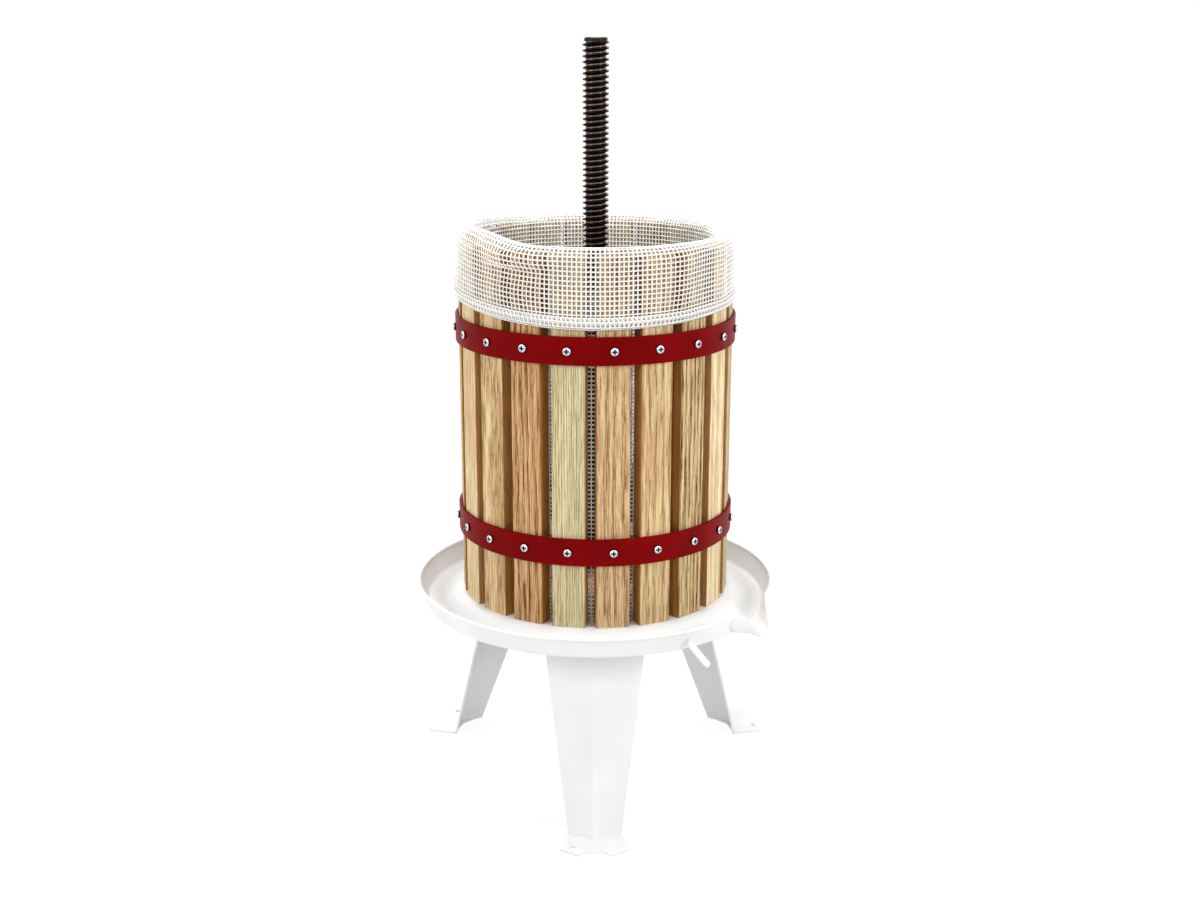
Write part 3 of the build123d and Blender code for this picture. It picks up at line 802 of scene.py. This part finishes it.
def cuff_point(azimuth, along):
    """Where a point of the straight tube comes to lie."""
    layer, along = hem_layer(along)
    radius, level = over_rim(azimuth, along + cuff_lift(azimuth))
    drop = (STAVE_TOP - level) / MM
    outside = smooth(radius, LINER_RADIUS, CUFF_RADIUS)
    reach = radius + layer * HEM_STEP + outside * cuff_push(azimuth, drop)
    slip = layer * math.pi / NET_COLUMNS + outside * cuff_slip(azimuth, drop) / reach
    turn = math.radians(azimuth) + slip
    height = level + layer * HEM_SHIFT
    return Vector((reach * math.sin(turn), -reach * math.cos(turn), height))


def make_cuff():
    hem_folds = [-CUFF_DROP - i * HEM_RISE for i in range(HEM_LAYERS)]
    bends = [ROLL_ARC + STAVE_TOP - LINER_TOP, 0] + hem_folds
    grid = net_grid([(CUFF_RADIUS, along) for along in bends], 0, 2 * math.pi, NET_COLUMNS)
    for vertex in grid.verts:
        vertex.co = cuff_point(azimuth_of(vertex.co), vertex.co.z)
    cuff = net_piece(grid, "bag_cuff_net")
    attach(cuff, "basket")
    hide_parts("bag_cuff")


make_cuff()

# %% [markdown]
# Inside the basket the bag is a liner that lies against the staves, sewn from a front and a back
# half with a seam at each side. It is pressed a little into the gaps between the staves, and waves
# a little up its height. In the press its top goes up with the basket and its foot stays under the
# plates.

# %% Liner
BAG_FLOOR = 194.2 * MM
GAP_PUSH = 0.5
WAVE_PUSH = 0.7
LINER_WAVES = 5


def liner_push(azimuth, level):
    """How far the liner stands out at an azimuth, in degrees, and a level."""
    from_first = azimuth - math.degrees(FIRST_STAVE)
    gap = math.cos(math.radians(STAVE_COUNT * from_first + 180))
    wave = math.sin(math.radians(azimuth * LINER_WAVES + level / MM))
    wave *= swell(level, BAG_FLOOR, LINER_TOP)
    return (GAP_PUSH * gap - WAVE_PUSH * (1 + wave) / 2) * MM


def liner_half(name, start):
    profile = [(LINER_RADIUS, BAG_FLOOR), (LINER_RADIUS, LINER_TOP)]
    grid = net_grid(profile, start, math.pi, NET_COLUMNS // 2)
    for vertex in grid.verts:
        push = liner_push(azimuth_of(vertex.co), vertex.co.z)
        vertex.co.xy *= 1 + push / LINER_RADIUS
    half = net_piece(grid, name)
    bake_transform(half)
    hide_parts("straining_bag")


liner_half("bag_liner_front", -math.pi / 2)
liner_half("bag_liner_back", math.pi / 2)

# %% [markdown]
# The bag's foot lies flat on the tray. It is cut from one square of net: the meshes outside the
# liner's ring and those over the spindle's collar go, and the cut edges are drawn onto two circles.
# Spun net would do for a ring too, but its meshes would crowd towards the middle.

# %% Foot of the bag
COLLAR_HOLE = 26 * MM


def bag_foot():
    """A square net trimmed to the liner's ring, with a round hole for the spindle's collar."""
    across = round(2 * LINER_RADIUS / NET_PITCH)
    grid = bmesh.new()
    bmesh.ops.create_grid(grid, x_segments=across, y_segments=across, size=LINER_RADIUS)
    ring_edge = LINER_RADIUS - NET_PITCH / 2
    stray = [face for face in grid.faces
             if not COLLAR_HOLE < face.calc_center_median().length < ring_edge]
    bmesh.ops.delete(grid, geom=stray, context="FACES")
    for vertex in grid.verts:
        radius = vertex.co.length
        if vertex.is_boundary:
            vertex.co *= (COLLAR_HOLE if radius < 2 * COLLAR_HOLE else LINER_RADIUS) / radius
    bmesh.ops.translate(grid, verts=grid.verts, vec=(0, 0, BAG_FLOOR))
    foot = net_piece(grid, "bag_foot_net")
    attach(foot, "stand")
    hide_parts("straining_bag")


bag_foot()

# %% [markdown]
# The press stands on a plain white floor. A floor lit to pure white would need so much light that
# the white legs burn out, so the floor shows a camera ray mostly its own white and keeps a little
# of the shadow round the feet. Farther out it is white alone.

# %% Floor
FLOOR_SIZE = 30.0
FLOOR_GREY = (0.78, 0.78, 0.78, 1)
FLOOR_GLOW = 1.1
PLAIN_WHITE = (1, 1, 1, 1)
SHADOW_SHARE = 0.2
SHADOW_EDGE = (0.35, 1.1)


def seen_directly(network):
    """1 for a ray from the camera, straight or off a mirror or through glass, and 0 for light."""
    straight = network.node("ShaderNodeLightPath", output="Is Camera Ray")
    mirrored = straight.math("MAXIMUM", straight.also("Is Glossy Ray"))
    return mirrored.math("MAXIMUM", straight.also("Is Transmission Ray"))


def floor_finish():
    """A white floor that shows a little of the shadow round the feet and is plain farther out."""
    finish = Finish("floor", Base_Color=FLOOR_GREY, Roughness=0.9, Specular_IOR_Level=0.0)
    glow = {"Color": PLAIN_WHITE, "Strength": FLOOR_GLOW}
    plain = finish.node("ShaderNodeEmission", {}, glow)
    length = {"operation": "LENGTH"}
    away = finish.node("ShaderNodeVectorMath", length, {0: finish.place()}, output="Value")
    share = away.ramp(*SHADOW_EDGE).between(1 - SHADOW_SHARE, 1)
    lit = Tap(finish, finish.shader.outputs[0])
    sockets = {0: share * seen_directly(finish), 1: lit, 2: plain}
    mixed = finish.node("ShaderNodeMixShader", {}, sockets)
    finish.feed(finish.tree.nodes["Material Output"].inputs["Surface"], mixed)
    return finish


def make_floor():
    mesh = bpy.data.meshes.new("floor")
    shape = bmesh.new()
    bmesh.ops.create_grid(shape, x_segments=1, y_segments=1, size=FLOOR_SIZE)
    shape.to_mesh(mesh)
    shape.free()
    floor = bpy.data.objects.new("floor", mesh)
    bpy.context.scene.collection.objects.link(floor)
    floor.data.materials.append(floor_finish().material)


make_floor()
print("floor, metres across:", 2 * FLOOR_SIZE)

# %% [markdown]
# The light is that of a white studio. The strongest lamp hangs above, two large soft ones stand at
# the front's left and right, and weaker ones are in front and behind. Each has its place, its width
# in metres and its power in watts. The world is an even sky, white where the camera sees it.

# %% Lamps and sky
LAMPS = {
    "left": ((-2.3, -1.4, 1.5), 1.3, 35),
    "right": ((2.3, -1.4, 1.5), 1.3, 41),
    "front": ((0, -2.6, 2.2), 1.4, 10),
    "top": ((0, 0.2, 2.8), 1.8, 58),
    "back": ((-0.6, 2.4, 1.8), 1.8, 12),
}
LAMP_AIM = Vector((0, 0, 0.35))
SKY_LIGHT = 0.36
SKY_SEEN = 1.0


def make_sky():
    """An even sky that lights the press softly and is plain white where the camera sees it."""
    world = bpy.data.worlds.new("studio")
    world.use_nodes = True
    sky = Network(world.node_tree)
    background = sky.tree.nodes["Background"]
    sky.feed(background.inputs["Color"], PLAIN_WHITE)
    sky.feed(background.inputs["Strength"], seen_directly(sky).between(SKY_LIGHT, SKY_SEEN))
    bpy.context.scene.world = world


def make_lamp(name, place, size, power):
    lamp = bpy.data.objects.new(name, bpy.data.lights.new(name, "AREA"))
    lamp.data.size = size
    lamp.data.energy = power
    lamp.location = place
    lamp.rotation_euler = (LAMP_AIM - Vector(place)).to_track_quat("-Z", "Y").to_euler()
    bpy.context.scene.collection.objects.link(lamp)


make_sky()
for name, (place, size, power) in LAMPS.items():
    make_lamp(name, place, size, power)
bpy.context.scene.view_settings.view_transform = "Standard"
print("lamps:", ", ".join(f"{name} {lamp[2]} W" for name, lamp in LAMPS.items()))
